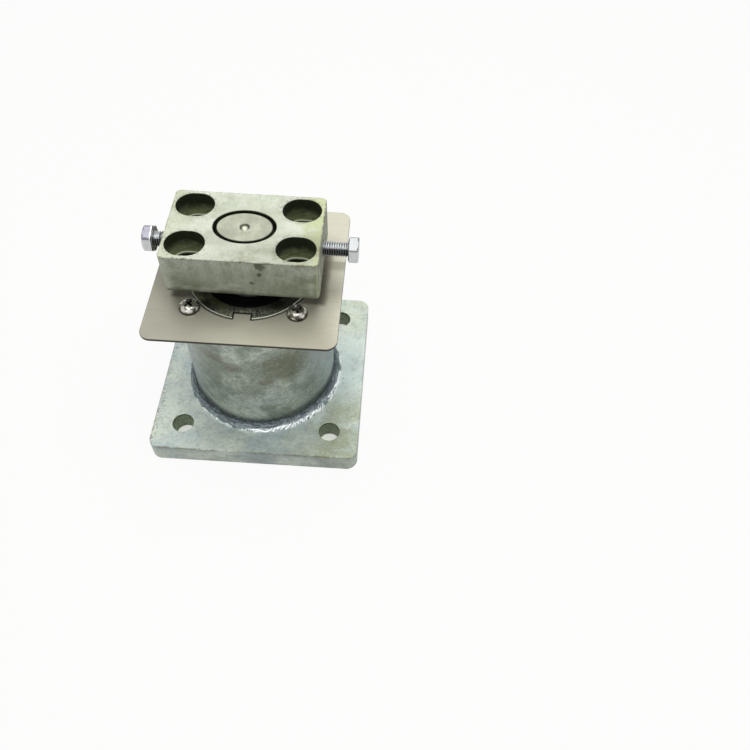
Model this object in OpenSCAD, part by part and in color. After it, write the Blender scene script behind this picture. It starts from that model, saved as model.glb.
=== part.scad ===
// Floor pivot hinge: a slotted door block on an oval spindle, which turns in two
// bearings inside a tube welded to a square floor plate.
// Millimetres, +Z up. The origin is the centre of the floor plate's underside.

/* [Floor plate] */
// Side of the square floor plate
base_w = 125; // [118:1:140]
// Thickness of the floor plate
base_t = 13; // [8:0.5:20]
// Radius of the floor plate's four corners
base_corner_r = 6.5; // [4:0.5:9]
// Distance of the anchor holes' centres from the plate's edges
anchor_inset = 18; // [15:0.5:20]
// Diameter of the anchor holes
anchor_d = 12.4; // [9:0.2:13]

/* [Housing] */
// Leg of the fillet weld round the foot of the tube
weld_leg = 5; // [3:0.5:6]
// Ripples round the weld
weld_ripples = 72; // [48:4:90]
// Height of the ledge that carries the lower bearing above the floor plate
ledge_h = 5; // [3:0.5:10]
// Inside diameter of the ledge
ledge_id = 50; // [48:0.5:52]
// Height of the tube's rim above the upper bearing
rim_h = 11; // [9:0.5:14]
// How much wider the ring nut's thread is than the bearing seat, on the radius
thread_step = 3; // [2:0.5:5]
// Width of the tube's rim round the ring nut
rim_w = 9.5; // [8:0.5:12]

/* [Bearings] */
// Outside diameter of both bearings
bearing_od = 62; // [60:0.5:64]
// Width of both bearings' section, from the bore to the outside
bearing_section = 13.5; // [13:0.1:14]
// Height from the lower bearing's underside to the lower bearing's top
taper_h = 18; // [18:0.5:20]
// Height of the lower bearing's outer cup
cup_h = 14; // [13:0.5:15]
// Tilt of the tapered rollers
roller_tilt = 12; // [10:0.5:13]
// Tapered rollers in the lower bearing
roller_count = 19; // [12:1:20]
// Length of a tapered roller
roller_len = 12; // [10:0.5:12.5]
// Diameter of a roller's small end, as a share of the bearing's section
roller_small_share = 0.41; // [0.36:0.01:0.44]
// Diameter of a roller's large end, as a share of the bearing's section
roller_large_share = 0.48; // [0.45:0.01:0.5]
// Height of the upper bearing's rings
ball_ring_h = 14; // [13:0.5:16]
// Diameter of a ball, as a share of the bearing's section
ball_share = 0.59; // [0.5:0.01:0.62]
// Balls in the upper bearing
ball_count = 11; // [7:1:13]
// Distance between the two bearings
bearing_span = 40; // [30:1:60]

/* [Spindle] */
// Height of the spindle's shoulders between the bearings
spindle_step = 3.5; // [2:0.5:4.5]
// How much narrower the oval tenon is than the spindle, along the block
tenon_cut_l = 5.8; // [4:0.2:9]
// How much narrower the oval tenon is than the spindle, across the block
tenon_cut_w = 14.2; // [12:0.2:19]
// Depth of the tenon's top below the top of the door block
tenon_sink = 0.5; // [0:0.1:2]
// Diameter of the centre mark in the tenon's top
centre_mark_d = 5; // [3:0.5:6]

/* [Ring nut, seal and cover] */
// Width of the four spanner slots in the ring nut
spanner_slot_w = 10.4; // [8:0.2:12]
// Depth of the spanner slots, measured from the thread inwards
spanner_slot_depth = 4.4; // [3:0.2:5]
// Outside diameter of the oil seal
seal_od = 52; // [50:0.5:53]
// Height of the oil seal
seal_h = 7; // [6:0.5:8]
// Side of the square cover plate
cover_w = 101.5; // [94:0.5:108]
// Thickness of the cover plate
cover_t = 1.5; // [1:0.1:3]
// Radius of the cover plate's corners
cover_corner_r = 6; // [3:0.5:10]
// Distance of the cover screws' centres from the outside of the tube
cover_screw_inset = 3.5; // [3.2:0.1:4.5]
// Thread diameter of the cover screws
cover_screw_d = 5; // [4:0.5:5]
// Head diameter of the cover screws
cover_head_d = 10.6; // [8:0.2:10.8]
// Head height of the cover screws
cover_head_h = 3.7; // [2.5:0.1:4.5]
// Length of the cover screws under the head
cover_screw_len = 10; // [6:1:14]

/* [Door block] */
// Length of the door block
block_l = 80; // [78:1:100]
// Width of the door block
block_w = 50; // [48:0.5:60]
// Height of the door block
block_h = 24.5; // [20:0.5:35]
// Gap under the door block, above the cover plate
door_gap = 8.5; // [6:0.5:15]
// Distance of the door slots' centres from the block's ends
slot_inset_l = 12; // [11.5:0.5:13]
// Distance of the door slots' centres from the block's sides
slot_inset_w = 10.8; // [10.2:0.1:11.4]
// Width of the slots for the door bolts
slot_w = 13; // [8:0.5:13.5]
// How much longer than wide the slots are
slot_stretch = 3; // [1:0.5:4]
// Width of the pockets for the door bolts' heads
pocket_w = 17.5; // [14:0.5:18]
// Depth of the pockets
pocket_depth = 13; // [8:0.5:16]
// Clearance between the oval tenon and its hole, all round
tenon_gap = 1.75; // [1.4:0.05:2]

/* [Adjusting bolts] */
// Thread diameter of the two adjusting bolts
adjuster_d = 8; // [6:0.5:8.5]
// Length of an adjusting bolt under its head
adjuster_len = 30; // [26:1:33]
// Size across the flats of a bolt head
adjuster_af = 13; // [10:0.5:14]
// Height of a bolt head
adjuster_head_h = 5.4; // [4:0.1:6]
// Distance from the block to the left bolt's head
left_standoff = 8.3; // [6:0.1:12]
// Distance from the block to the right bolt's head
right_standoff = 13.2; // [7:0.1:16]

/* [Hidden] */
$fn = 96;

// A cut starts and ends this far outside what it cuts.
past = 1;
// Radial room where a bearing ring sits on the spindle or in the housing.
seat_gap = 0.02;
// Radial room in a thread, which is drawn at its outside diameter.
thread_gap = 0.05;
// Room between rolling elements and their raceways.
race_gap = 0.05;
// Room between rolling elements and the pockets of their cage.
cage_gap = 0.15;

// Levels from the floor up.
ledge_z = base_t + ledge_h;
shoulder_z = ledge_z + taper_h;
upper_z = shoulder_z + bearing_span;
nut_z = upper_z + ball_ring_h;
rim_z = nut_z + rim_h;
cover_z = rim_z + cover_t;
block_z = cover_z + door_gap;
block_top_z = block_z + block_h;
adjuster_z = block_z + block_h / 2;

// Radii from the spindle out.
bearing_or = bearing_od / 2;
bearing_bore_r = bearing_or - bearing_section;
spindle_mid_r = bearing_bore_r + spindle_step;
tenon_l = 2 * bearing_bore_r - tenon_cut_l;
tenon_w = 2 * bearing_bore_r - tenon_cut_w;
thread_r = bearing_or + thread_step;
nut_r = thread_r - thread_gap;
tube_r = thread_r + rim_w;
cover_screw_r = tube_r - cover_screw_inset;

anchor_pitch = base_w - 2 * anchor_inset;

// ---- outlines ----

// A rectangle with round corners.
module round_rect(l, w, r) {
  square([l - 2 * r, w], center = true);
  square([l, w - 2 * r], center = true);
  for (x = [-1, 1], y = [-1, 1])
    translate([x * (l / 2 - r), y * (w / 2 - r)]) circle(r = r);
}

// A slot with round ends, along X.
module obround(l, w) {
  square([l - w, w], center = true);
  for (x = [-1, 1]) translate([x * (l - w) / 2, 0]) circle(d = w);
}

// The points of an ellipse.
oval_steps = 96;
function oval(l, w) =
  [for (i = [0 : oval_steps - 1]) [l / 2 * cos(360 * i / oval_steps), w / 2 * sin(360 * i / oval_steps)]];

// A rectangle with its upper and lower corners cut off, from z = 0 up.
function bevelled(w, h, c) =
  [[-w / 2, c], [-w / 2 + c, 0], [w / 2 - c, 0], [w / 2, c],
   [w / 2, h - c], [w / 2 - c, h], [-w / 2 + c, h], [-w / 2, h - c]];

// A slab with round upright corners and broken upper and lower edges.
module slab(l, w, h, corner_r, edge) {
  intersection() {
    linear_extrude(h) round_rect(l, w, corner_r);
    translate([0, w / 2 + past, 0]) rotate([90, 0, 0])
      linear_extrude(w + 2 * past) polygon(bevelled(l, h, edge));
    translate([-l / 2 - past, 0, 0]) rotate([90, 0, 90])
      linear_extrude(l + 2 * past) polygon(bevelled(w, h, edge));
  }
}

// A ring, given its outer and inner radius, its height and its edges' bevel.
module ring(outer_r, inner_r, h, bevel) {
  rotate_extrude()
    polygon([
      [inner_r + bevel, 0], [outer_r - bevel, 0], [outer_r, bevel], [outer_r, h - bevel],
      [outer_r - bevel, h], [inner_r + bevel, h], [inner_r, h - bevel], [inner_r, bevel]
    ]);
}

// Copies at the four corners of a rectangle.
module at_corners(l, w) {
  for (x = [-1, 1], y = [-1, 1]) translate([x * l / 2, y * w / 2, 0]) children();
}

// ---- the welded base ----

base_edge = 0.8;

module base_plate() {
  color("#b9c2bc") difference() {
    slab(base_w, base_w, base_t, base_corner_r, base_edge);
    at_corners(anchor_pitch, anchor_pitch)
      translate([0, 0, -past]) cylinder(h = base_t + 2 * past, d = anchor_d);
  }
}

// Depth of the nut's thread below the nut, where the cutting tool runs out.
thread_runout = 2;
cover_hole_depth = cover_screw_len + 2;
tube_edge = 0.6;

module housing_tube() {
  color("#a9b1a8") difference() {
    rotate_extrude()
      polygon([
        [ledge_id / 2, base_t], [tube_r, base_t],
        [tube_r, rim_z - tube_edge], [tube_r - tube_edge, rim_z],
        [thread_r, rim_z], [thread_r, nut_z - thread_runout],
        [bearing_or + seat_gap, nut_z - thread_runout], [bearing_or + seat_gap, ledge_z],
        [ledge_id / 2, ledge_z]
      ]);
    at_cover_screws()
      translate([0, 0, rim_z - cover_hole_depth])
        cylinder(h = cover_hole_depth + past, d = cover_screw_d + 2 * thread_gap);
  }
}

// The weld is a bulging fillet. Its crest steps forward once a ripple, as each
// drop of metal froze over the last, and its toe wanders a little.
weld_steps = 4;
weld_rings = weld_ripples * weld_steps;
weld_arc = 6;
weld_bulge = 0.32;
weld_ripple_h = 0.3;
weld_wander = 0.22;
// Clear of the round tube by more than the flats of the bead's inner side.
weld_in_r = tube_r / cos(180 / weld_rings) + 0.01;
function weld_ripple(i) = weld_ripple_h * (1 - (i % weld_steps) / (weld_steps - 1));
function weld_reach(a) = weld_leg - weld_ripple_h + weld_wander * sin(7 * a) * cos(3 * a);
function weld_point(i, k) =
  let (
    a = 360 * i / weld_rings,
    t = 90 * k / weld_arc,
    reach = weld_reach(a) + weld_ripple(i) * sin(t),
    body = 1 + weld_bulge * sin(2 * t),
    flat = cos(t) + sin(t),
    r = weld_in_r + reach * body * cos(t) / flat,
    z = base_t + reach * body * sin(t) / flat
  )
  [r * cos(a), r * sin(a), z];

module weld_bead() {
  section = weld_arc + 2;
  points = [for (i = [0 : weld_rings - 1])
    each concat(
      [[weld_in_r * cos(360 * i / weld_rings), weld_in_r * sin(360 * i / weld_rings), base_t]],
      [for (k = [0 : weld_arc]) weld_point(i, k)])];
  faces = [for (i = [0 : weld_rings - 1], k = [0 : section - 1])
    let (
      j = (i + 1) % weld_rings,
      m = (k + 1) % section,
      p = i * section + k, q = i * section + m, s = j * section + m, t = j * section + k
    )
    each [[p, q, s], [p, s, t]]];
  color("#c3cbd1") polyhedron(points = points, faces = faces);
}

// ---- the lower bearing: tapered rollers that carry the door's weight ----

ring_bevel = 0.6;
roller_small_d = roller_small_share * bearing_section;
roller_large_d = roller_large_share * bearing_section;
// The rollers' circle lies a little outside the middle of the section.
race_r = bearing_bore_r + 0.525 * bearing_section;
roller_mid_z = taper_h / 2;
// How far the cone's ribs stand off the rollers' axes, as shares of the rollers' radii.
small_rib_share = 0.62;
large_rib_share = 0.38;
taper_cage_t = 1;
taper_cage_shift = 0.8;
taper_cage_rim = 1.6;
roller_edge = 0.3;

// A point in the bearing's section: s along a roller's axis from its middle,
// out away from the axis, towards the cup.
function roller_place(s, out) =
  [race_r + s * sin(roller_tilt) + out * cos(roller_tilt),
   roller_mid_z + s * cos(roller_tilt) - out * sin(roller_tilt)];
// The roller's radius, carried on past its ends.
function roller_r(s) =
  (roller_small_d + roller_large_d) / 4 + s / roller_len * (roller_large_d - roller_small_d) / 2;
// A point on the line p to q at the height z.
function at_height(p, q, z) = [p[0] + (q[0] - p[0]) * (z - p[1]) / (q[1] - p[1]), z];

race_a = roller_place(-roller_len / 2, roller_r(-roller_len / 2) + race_gap);
race_b = roller_place(roller_len / 2, roller_r(roller_len / 2) + race_gap);
cone_a = roller_place(-roller_len / 2, -roller_r(-roller_len / 2) - race_gap);
cone_b = roller_place(roller_len / 2, -roller_r(roller_len / 2) - race_gap);

module lower_cup() {
  color("#8f9396") translate([0, 0, ledge_z]) rotate_extrude()
    polygon([
      at_height(race_a, race_b, 0), [bearing_or - ring_bevel, 0], [bearing_or, ring_bevel],
      [bearing_or, cup_h - ring_bevel], [bearing_or - ring_bevel, cup_h],
      at_height(race_a, race_b, cup_h)
    ]);
}

module lower_cone() {
  bore_r = bearing_bore_r + seat_gap;
  // The ribs' faces follow the rollers' ends.
  end_a = roller_place(-roller_len / 2 - race_gap, -roller_r(-roller_len / 2) - race_gap);
  end_b = roller_place(roller_len / 2 + race_gap, -roller_r(roller_len / 2) - race_gap);
  slope = tan(roller_tilt);
  small_rib_r = roller_place(-roller_len / 2, 0)[0] - small_rib_share * roller_small_d / 2;
  large_rib_r = roller_place(roller_len / 2, 0)[0] - large_rib_share * roller_large_d / 2;
  color("#8f9396") translate([0, 0, ledge_z]) rotate_extrude()
    polygon([
      [bore_r, ring_bevel], [bore_r + ring_bevel, 0], [small_rib_r, 0],
      [small_rib_r, end_a[1] - (small_rib_r - end_a[0]) * slope], end_a,
      end_b, [large_rib_r, end_b[1] - (large_rib_r - end_b[0]) * slope],
      [large_rib_r, taper_h], [bore_r + ring_bevel, taper_h], [bore_r, taper_h - ring_bevel]
    ]);
}

// One roller in its place, or the room that it needs, grown by gap.
module roller(i, gap) {
  rotate([0, 0, 360 * i / roller_count]) translate([race_r, 0, ledge_z + roller_mid_z])
    rotate([0, roller_tilt, 0])
      cylinder(
        h = roller_len + 2 * gap, center = true,
        r1 = roller_r(-roller_len / 2) + gap, r2 = roller_r(roller_len / 2) + gap);
}

module lower_rollers() {
  color("#d0d4d6") for (i = [0 : roller_count - 1]) roller(i, 0);
}

module lower_cage() {
  reach = roller_len / 2 + taper_cage_rim;
  color("#6f7478") difference() {
    translate([0, 0, ledge_z]) rotate_extrude()
      polygon([
        roller_place(-reach, taper_cage_shift - taper_cage_t / 2),
        roller_place(-reach, taper_cage_shift + taper_cage_t / 2),
        roller_place(reach, taper_cage_shift + taper_cage_t / 2),
        roller_place(reach, taper_cage_shift - taper_cage_t / 2)
      ]);
    for (i = [0 : roller_count - 1]) roller(i, cage_gap);
  }
}

// ---- the spacer that holds the two outer rings apart ----

spacer_wall = 3.6;

// Its foot is bored out, so that it clears the rollers that stand above the cup.
module spacer_sleeve() {
  foot_r = roller_place(roller_len / 2, roller_large_d / 2)[0] + cage_gap * 2;
  length = upper_z - ledge_z - cup_h;
  color("#8a8f8c") translate([0, 0, ledge_z + cup_h]) difference() {
    ring(bearing_or, bearing_or - spacer_wall, length, ring_bevel / 2);
    translate([0, 0, -past]) cylinder(h = taper_h - cup_h + past, r = foot_r);
  }
}

// ---- the upper bearing: a ball bearing that steadies the spindle ----

ball_d = ball_share * bearing_section;
ball_race_r = (bearing_bore_r + bearing_or) / 2;
ball_z = upper_z + ball_ring_h / 2;
// How far the rings' shoulders stand off the balls' centres.
shoulder_off = 0.34 * ball_d;
ball_cage_t = 0.21 * ball_d;
ball_cage_h = ball_d + 2.4;

module ball_groove() {
  rotate_extrude() translate([ball_race_r, 0]) circle(r = ball_d / 2 + race_gap);
}

module upper_outer_ring() {
  color("#8f9396") difference() {
    translate([0, 0, upper_z])
      ring(bearing_or, ball_race_r + shoulder_off, ball_ring_h, ring_bevel);
    translate([0, 0, ball_z]) ball_groove();
  }
}

module upper_inner_ring() {
  color("#8f9396") difference() {
    translate([0, 0, upper_z])
      ring(ball_race_r - shoulder_off, bearing_bore_r + seat_gap, ball_ring_h, ring_bevel);
    translate([0, 0, ball_z]) ball_groove();
  }
}

module balls(gap) {
  for (i = [0 : ball_count - 1]) rotate([0, 0, 360 * i / ball_count])
    translate([ball_race_r, 0, ball_z]) sphere(d = ball_d + 2 * gap);
}

module upper_balls() {
  color("#d0d4d6") balls(0);
}

module upper_cage() {
  color("#b89a52") difference() {
    translate([0, 0, ball_z - ball_cage_h / 2])
      ring(ball_race_r + ball_cage_t / 2, ball_race_r - ball_cage_t / 2, ball_cage_h, 0.2);
    balls(cage_gap);
  }
}

// ---- the spindle and the circlip that holds it down in the upper bearing ----

foot_gap = 2;
spindle_edge = 1;
clip_t = 1.5;
clip_groove_depth = 1;
clip_side_gap = 0.05;
clip_z = nut_z + clip_side_gap;

module spindle() {
  groove_r = bearing_bore_r - clip_groove_depth;
  mark_r = centre_mark_d / 2;
  pilot_r = 0.9;
  tenon_z = block_top_z - tenon_sink;
  color("#b9bab2") difference() {
    union() {
      rotate_extrude()
        polygon([
          [0, base_t + foot_gap], [bearing_bore_r - spindle_edge, base_t + foot_gap],
          [bearing_bore_r, base_t + foot_gap + spindle_edge],
          [bearing_bore_r, shoulder_z], [spindle_mid_r, shoulder_z],
          [spindle_mid_r, upper_z], [bearing_bore_r, upper_z],
          [bearing_bore_r, nut_z], [groove_r, nut_z],
          [groove_r, nut_z + clip_t + 2 * clip_side_gap],
          [bearing_bore_r, nut_z + clip_t + 2 * clip_side_gap],
          [bearing_bore_r, block_z], [0, block_z]
        ]);
      translate([0, 0, block_z - past])
        linear_extrude(tenon_z - block_z + past) polygon(oval(tenon_l, tenon_w));
    }
    // A centre drill's mark: a cone that ends in a small pilot hole.
    translate([0, 0, tenon_z - mark_r + pilot_r])
      cylinder(h = mark_r - pilot_r, r1 = pilot_r, r2 = mark_r);
    translate([0, 0, tenon_z - mark_r]) cylinder(h = mark_r, r = pilot_r);
  }
}

clip_w = 3.4;
clip_lug_r = 2.6;
clip_lug_hole_d = 2.2;
// Half the angle of the gap between the lugs.
clip_open = 12;

module circlip() {
  clip_r = bearing_bore_r - clip_groove_depth + seat_gap;
  lug_at = clip_r + clip_lug_r;
  color("#4c4f52") translate([0, 0, clip_z]) linear_extrude(clip_t) difference() {
    union() {
      // The ring is widest opposite its gap.
      translate([-clip_w / 6, 0]) circle(r = clip_r + clip_w * 5 / 6);
      for (s = [-1, 1]) rotate(s * (clip_open + 9)) translate([lug_at, 0]) circle(r = clip_lug_r);
    }
    circle(r = clip_r);
    polygon([[0, 0], 2 * clip_r * [cos(clip_open), sin(clip_open)],
             2 * clip_r * [cos(clip_open), -sin(clip_open)]]);
    for (s = [-1, 1]) rotate(s * (clip_open + 9)) translate([lug_at, 0]) circle(d = clip_lug_hole_d);
  }
}

// ---- the ring nut, with the oil seal pressed into it ----

nut_edge = 0.6;
nut_lip_r = seal_od / 2 - 3;
// The nut presses on the outer ring alone, and is cut back inside it.
nut_relief_r = bearing_or - 4;
nut_relief_h = 2;
spanner_slot_h = 5;
seal_sink = 0.3;

module ring_nut() {
  seal_seat_z = cover_z - seal_sink - seal_h;
  color("#8d918d") difference() {
    rotate_extrude()
      polygon([
        [nut_relief_r, nut_z], [nut_r - nut_edge, nut_z], [nut_r, nut_z + nut_edge],
        [nut_r, cover_z - nut_edge], [nut_r - nut_edge, cover_z],
        [seal_od / 2, cover_z], [seal_od / 2, seal_seat_z], [nut_lip_r, seal_seat_z],
        [nut_lip_r, nut_z + nut_relief_h], [nut_relief_r, nut_z + nut_relief_h]
      ]);
    for (a = [0 : 90 : 270]) rotate([0, 0, a])
      translate([thread_r - spanner_slot_depth, -spanner_slot_w / 2, cover_z - spanner_slot_h])
        cube([spanner_slot_depth + past, spanner_slot_w, spanner_slot_h + past]);
  }
}

seal_press = 0.03;
lip_gap = 0.08;
spring_r = 0.7;
spring_at_r = bearing_bore_r + 3.1;
spring_z = cover_z - seal_sink - seal_h + 1.7;

// A shell with a flexible lip that bears on the spindle.
module oil_seal() {
  out_r = seal_od / 2 - seal_press;
  top = cover_z - seal_sink;
  foot = top - seal_h;
  wall = 1.5;
  neck_r = bearing_bore_r + 0.8;
  color("#1c1d1e") difference() {
    rotate_extrude()
      polygon([
        [out_r, foot], [out_r, top - 0.4], [out_r - 0.4, top], [neck_r + 0.4, top], [neck_r, top - 0.4],
        [neck_r, top - 3.2], [bearing_bore_r + lip_gap, top - 4.9], [bearing_bore_r + 1.2, foot + 0.7],
        [spring_at_r, foot + 0.7], [spring_at_r, top - 4], [neck_r + 1.4, top - wall],
        [out_r - wall, top - wall], [out_r - wall, foot]
      ]);
    translate([0, 0, spring_z]) rotate_extrude()
      translate([spring_at_r, 0]) circle(r = spring_r + race_gap);
  }
}

// The coiled garter spring that closes the lip, drawn as a plain ring.
module seal_spring() {
  color("#a0a4a6") translate([0, 0, spring_z]) rotate_extrude()
    translate([spring_at_r, 0]) circle(r = spring_r);
}

// ---- the cover plate and its screws ----

cover_edge = 0.15;
cover_gap = 0.8;
tab_gap = 0.6;
cover_hole_d = cover_screw_d + 0.4;

module at_cover_screws() {
  for (a = [45 : 90 : 315]) rotate([0, 0, a]) translate([cover_screw_r, 0, 0]) children();
}

// A square plate with a round opening. Its one tab sits in a slot of the ring
// nut and keeps the nut from turning.
module cover_plate() {
  hole_r = thread_r + cover_gap;
  tab_w = spanner_slot_w - 2 * tab_gap;
  tab_r = thread_r - spanner_slot_depth + tab_gap;
  color("#aca698") difference() {
    translate([0, 0, rim_z]) slab(cover_w, cover_w, cover_t, cover_corner_r, cover_edge);
    translate([0, 0, rim_z - past]) linear_extrude(cover_t + 2 * past) difference() {
      circle(r = hole_r);
      translate([-tab_w / 2, -hole_r - past]) square([tab_w, hole_r + past - tab_r]);
    }
    at_cover_screws()
      translate([0, 0, rim_z - past]) cylinder(h = cover_t + 2 * past, d = cover_hole_d);
  }
}

// A pan head screw with a cross recess.
module cover_screw(angle) {
  head_r = cover_head_d / 2;
  dome_h = cover_head_h * 0.45;
  dome_r = (head_r * head_r + dome_h * dome_h) / (2 * dome_h);
  recess_r = cover_head_d * 0.29;
  recess_w = cover_head_d * 0.12;
  recess_h = cover_head_h * 0.65;
  tip = 0.6;
  top = cover_z + cover_head_h;
  color("#c9c6bd") rotate([0, 0, angle]) translate([cover_screw_r, 0, 0]) difference() {
    union() {
      intersection() {
        translate([0, 0, cover_z]) cylinder(h = cover_head_h, r = head_r);
        translate([0, 0, top - dome_r]) sphere(r = dome_r);
      }
      rotate_extrude()
        polygon([
          [0, cover_z - cover_screw_len], [cover_screw_d / 2 - tip, cover_z - cover_screw_len],
          [cover_screw_d / 2, cover_z - cover_screw_len + tip],
          [cover_screw_d / 2, cover_z + past], [0, cover_z + past]
        ]);
    }
    intersection() {
      translate([0, 0, top - recess_h]) cylinder(h = recess_h + past, r1 = recess_w, r2 = recess_r * 1.25);
      for (a = [0, 90]) rotate([0, 0, a])
        translate([-head_r, -recess_w / 2, top - recess_h]) cube([2 * head_r, recess_w, recess_h + past]);
    }
  }
}

module cover_screw_front_left() { cover_screw(225); }
module cover_screw_front_right() { cover_screw(315); }
module cover_screw_back_left() { cover_screw(135); }
module cover_screw_back_right() { cover_screw(45); }

// ---- the door block and its adjusting bolts ----

block_corner_r = 2.5;
block_edge = 0.6;

module door_block() {
  color("#c3c8ba") difference() {
    translate([0, 0, block_z]) slab(block_l, block_w, block_h, block_corner_r, block_edge);
    at_corners(block_l - 2 * slot_inset_l, block_w - 2 * slot_inset_w) {
      translate([0, 0, block_z - past])
        linear_extrude(block_h + 2 * past) obround(slot_w + slot_stretch, slot_w);
      translate([0, 0, block_top_z - pocket_depth])
        linear_extrude(pocket_depth + past) obround(pocket_w + slot_stretch, pocket_w);
    }
    translate([0, 0, block_z - past]) linear_extrude(block_h + 2 * past)
      polygon(oval(tenon_l + 2 * tenon_gap, tenon_w + 2 * tenon_gap));
    for (s = [-1, 1]) translate([s * (block_l / 2 + past), 0, adjuster_z]) rotate([0, -s * 90, 0])
      cylinder(h = (block_l - tenon_l) / 2 + past, d = adjuster_d + 2 * thread_gap);
  }
}

// A fully threaded hexagon bolt along +X, with its head's underside at x = 0
// and its shank towards -X.
module adjuster() {
  corner_d = adjuster_af / cos(30);
  head_edge = 0.8;
  tip = 0.8;
  rotate([0, 90, 0]) {
    intersection() {
      cylinder(h = adjuster_head_h, d = corner_d, $fn = 6);
      rotate_extrude()
        polygon([
          [0, 0], [adjuster_af / 2, 0], [corner_d / 2, 0.4], [corner_d / 2, adjuster_head_h - head_edge],
          [adjuster_af / 2 - 0.3, adjuster_head_h], [0, adjuster_head_h]
        ]);
    }
    rotate_extrude()
      polygon([
        [0, -adjuster_len], [adjuster_d / 2 - tip, -adjuster_len], [adjuster_d / 2, -adjuster_len + tip],
        [adjuster_d / 2, past], [0, past]
      ]);
  }
}

module left_adjuster() {
  color("#c9ccd0") translate([-block_l / 2 - left_standoff, 0, adjuster_z])
    rotate([0, 0, 180]) adjuster();
}

module right_adjuster() {
  color("#c9ccd0") translate([block_l / 2 + right_standoff, 0, adjuster_z]) adjuster();
}

base_plate();
housing_tube();
weld_bead();
lower_cup();
lower_cone();
lower_rollers();
lower_cage();
spacer_sleeve();
upper_outer_ring();
upper_inner_ring();
upper_balls();
upper_cage();
spindle();
circlip();
ring_nut();
oil_seal();
seal_spring();
cover_plate();
cover_screw_front_left();
cover_screw_front_right();
cover_screw_back_left();
cover_screw_back_right();
door_block();
left_adjuster();
right_adjuster();
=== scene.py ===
import math

import bpy
from mathutils import Matrix, Vector, noise


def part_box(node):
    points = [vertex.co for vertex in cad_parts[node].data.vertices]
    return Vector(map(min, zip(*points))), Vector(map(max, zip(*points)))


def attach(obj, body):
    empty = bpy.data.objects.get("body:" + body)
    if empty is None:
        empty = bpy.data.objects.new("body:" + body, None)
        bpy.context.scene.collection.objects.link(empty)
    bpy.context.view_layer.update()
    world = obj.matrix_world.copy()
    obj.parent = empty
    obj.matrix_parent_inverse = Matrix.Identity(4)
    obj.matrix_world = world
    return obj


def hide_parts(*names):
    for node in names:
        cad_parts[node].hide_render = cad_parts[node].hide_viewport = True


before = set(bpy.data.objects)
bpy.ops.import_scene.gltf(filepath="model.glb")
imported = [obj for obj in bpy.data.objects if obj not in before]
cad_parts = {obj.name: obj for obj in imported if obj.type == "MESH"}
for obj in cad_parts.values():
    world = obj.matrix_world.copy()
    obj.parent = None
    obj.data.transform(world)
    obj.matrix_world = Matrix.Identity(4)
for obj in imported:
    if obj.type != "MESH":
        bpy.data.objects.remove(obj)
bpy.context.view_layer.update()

# ---- the floor plate ----
# A square of 13 mm hot-rolled plate, sawn, drilled for four anchor bolts and
# zinc plated after welding. The plating is cloudy, pale blue to grey-green,
# with brown flecks where the sawn left side was bare for longest.

MM = 0.001


class Wire:
    """A socket in a finish's node tree. Sums on it add Math nodes."""

    def __init__(self, tree, socket=None):
        self.tree, self.socket = tree, socket

    def node(self, kind, settings=None, inputs=None, out=0):
        made = self.tree.nodes.new("ShaderNode" + kind)
        for name, value in (settings or {}).items():
            setattr(made, name, value)
        for name, value in (inputs or {}).items():
            if isinstance(value, Wire):
                self.tree.links.new(value.socket, made.inputs[name])
            else:
                made.inputs[name].default_value = value
        return Wire(self.tree, made.outputs[out] if made.outputs else None)

    def sum(self, operation, a, b=0.0):
        return self.node("Math", {"operation": operation}, {0: a, 1: b})

    def __add__(self, other):
        return self.sum("ADD", self, other)

    def __sub__(self, other):
        return self.sum("SUBTRACT", self, other)

    def __rsub__(self, other):
        return self.sum("SUBTRACT", other, self)

    def __mul__(self, other):
        return self.sum("MULTIPLY", self, other)

    def __truediv__(self, other):
        return self.sum("DIVIDE", self, other)

    def __neg__(self):
        return 0.0 - self

    def __abs__(self):
        return self.sum("ABSOLUTE", self)

    __radd__, __rmul__ = __add__, __mul__


def least(a, b):
    return a.sum("MINIMUM", a, b)


def most(a, b):
    return a.sum("MAXIMUM", a, b)


def square(x, y):
    return x * x + y * y


def length(x, y):
    squared = square(x, y)
    return squared.sum("SQRT", squared)


def tint(red, green, blue):
    """A colour from its levels on screen, 0 to 255."""
    levels = [level / 255 for level in (red, green, blue)]
    return [v / 12.92 if v < 0.04045 else ((v + 0.055) / 1.055) ** 2.4 for v in levels] + [1]


def emptied(owner):
    """A wire in the cleared node tree of a material or a world."""
    owner.use_nodes = True
    owner.node_tree.nodes.clear()
    return Wire(owner.node_tree)


def finish(name):
    """A new material, and the wire that carries a point's place in it, in millimetres."""
    material = bpy.data.materials.new(name)
    place = emptied(material).node("TexCoord", out="Object")
    return material, place.node("VectorMath", {"operation": "SCALE"}, {0: place, "Scale": 1 / MM})


def surface(material, inputs):
    """Gives the material its surface, from the Principled shader's own sockets."""
    wire = Wire(material.node_tree)
    shader = wire.node("BsdfPrincipled", {}, inputs)
    wire.node("OutputMaterial", {}, {"Surface": shader})
    return material


def axes(place):
    return [place.node("SeparateXYZ", {}, {0: place}, out=axis) for axis in "XYZ"]


def clouds(place, size, detail=3.0, rough=0.5, stretch=(1, 1, 1), shift=0.0):
    """Noise from about 0.3 to 0.7, with lumps of that size in millimetres."""
    place = place.node(
        "Mapping", {}, {"Vector": place, "Scale": stretch, "Location": (shift, shift, shift)})
    return place.node("TexNoise", {}, {
        "Vector": place, "Scale": 1 / size, "Detail": detail, "Roughness": rough})


def fade(value, start, end):
    """0 before start and 1 after end, smooth between."""
    return value.node("MapRange", {"interpolation_type": "SMOOTHSTEP"}, {
        "Value": value, "From Min": start, "From Max": end})


def between(value, start, full, wane, end):
    """1 from full to wane, and 0 before start and after end."""
    return fade(value, start, full) * (1 - fade(value, wane, end))


def mix(factor, a, b):
    return factor.node("Mix", {"data_type": "RGBA"}, {0: factor, 6: a, 7: b}, out=2)


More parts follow.
